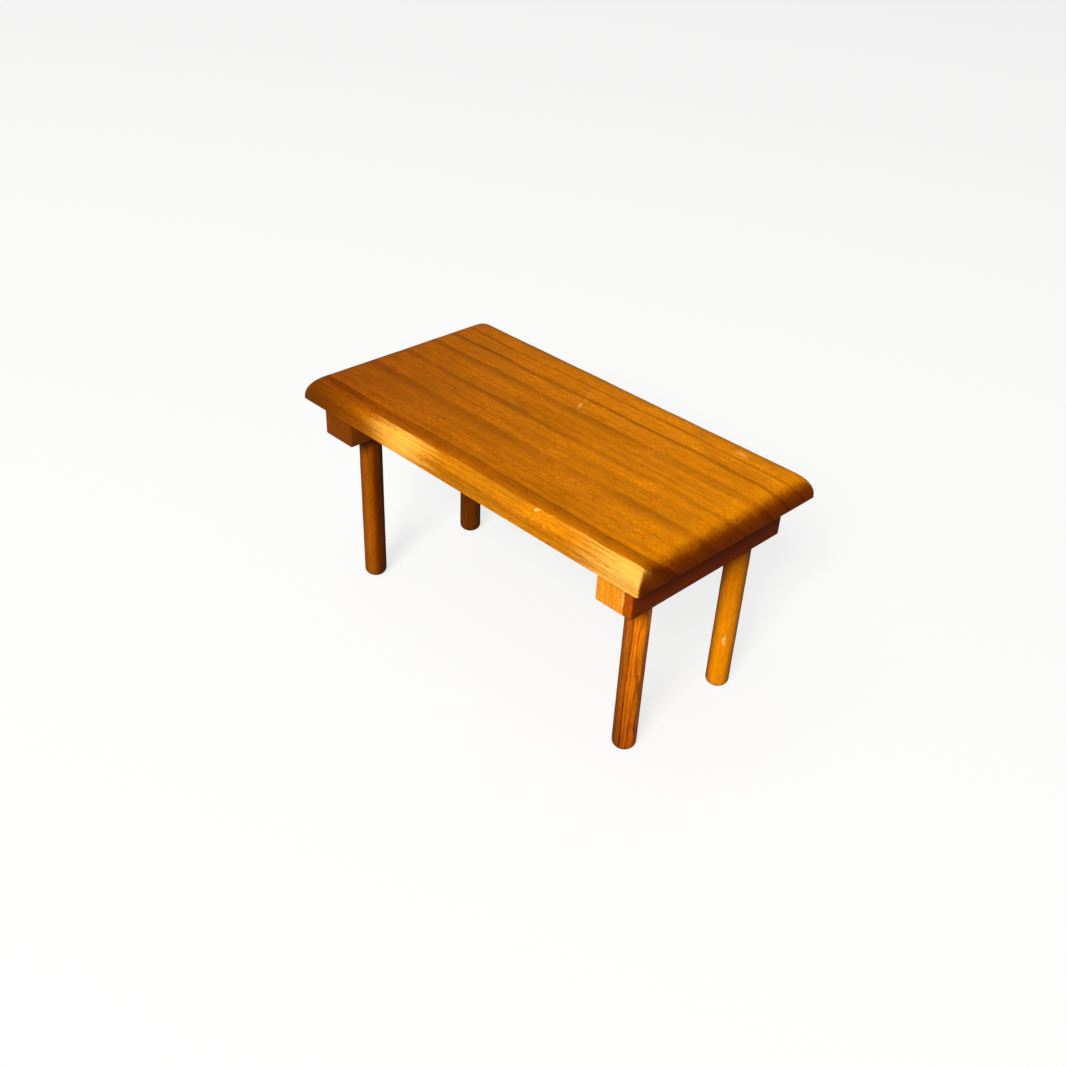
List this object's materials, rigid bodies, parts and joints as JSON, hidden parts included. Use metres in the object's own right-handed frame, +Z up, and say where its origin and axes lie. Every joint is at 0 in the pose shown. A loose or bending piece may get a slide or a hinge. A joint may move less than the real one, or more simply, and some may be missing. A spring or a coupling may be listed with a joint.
{
  "type": "miniature dining table",
  "caption": "Doll-scale rectangular dining table: rounded-edge pine top on two cross battens with straight dowel legs, free-standing.",
  "frame": {"origin": "on the floor under the middle of the top", "axes": "+X along the table's length, +Y across it to the back edge, +Z up"},
  "size_m": [0.228, 0.123, 0.122],
  "materials": {
    "pine_board": "satin amber varnish over flat-sawn pine",
    "pine_batten": "satin amber varnish, end grain at both ends",
    "pine_dowel": "gloss amber varnish",
    "steel_pin": "plain drawn steel"
  },
  "bodies": {
    "root": {"back_left_leg": "pine_dowel", "back_right_leg": "pine_dowel", "front_left_leg": "pine_dowel", "front_right_leg": "pine_dowel", "left_batten": "pine_batten", "left_batten_back_pin": "steel_pin", "left_batten_front_pin": "steel_pin", "right_batten": "pine_batten", "right_batten_back_pin": "steel_pin", "right_batten_front_pin": "steel_pin", "table_top": "pine_board"}
  },
  "joints": []
}
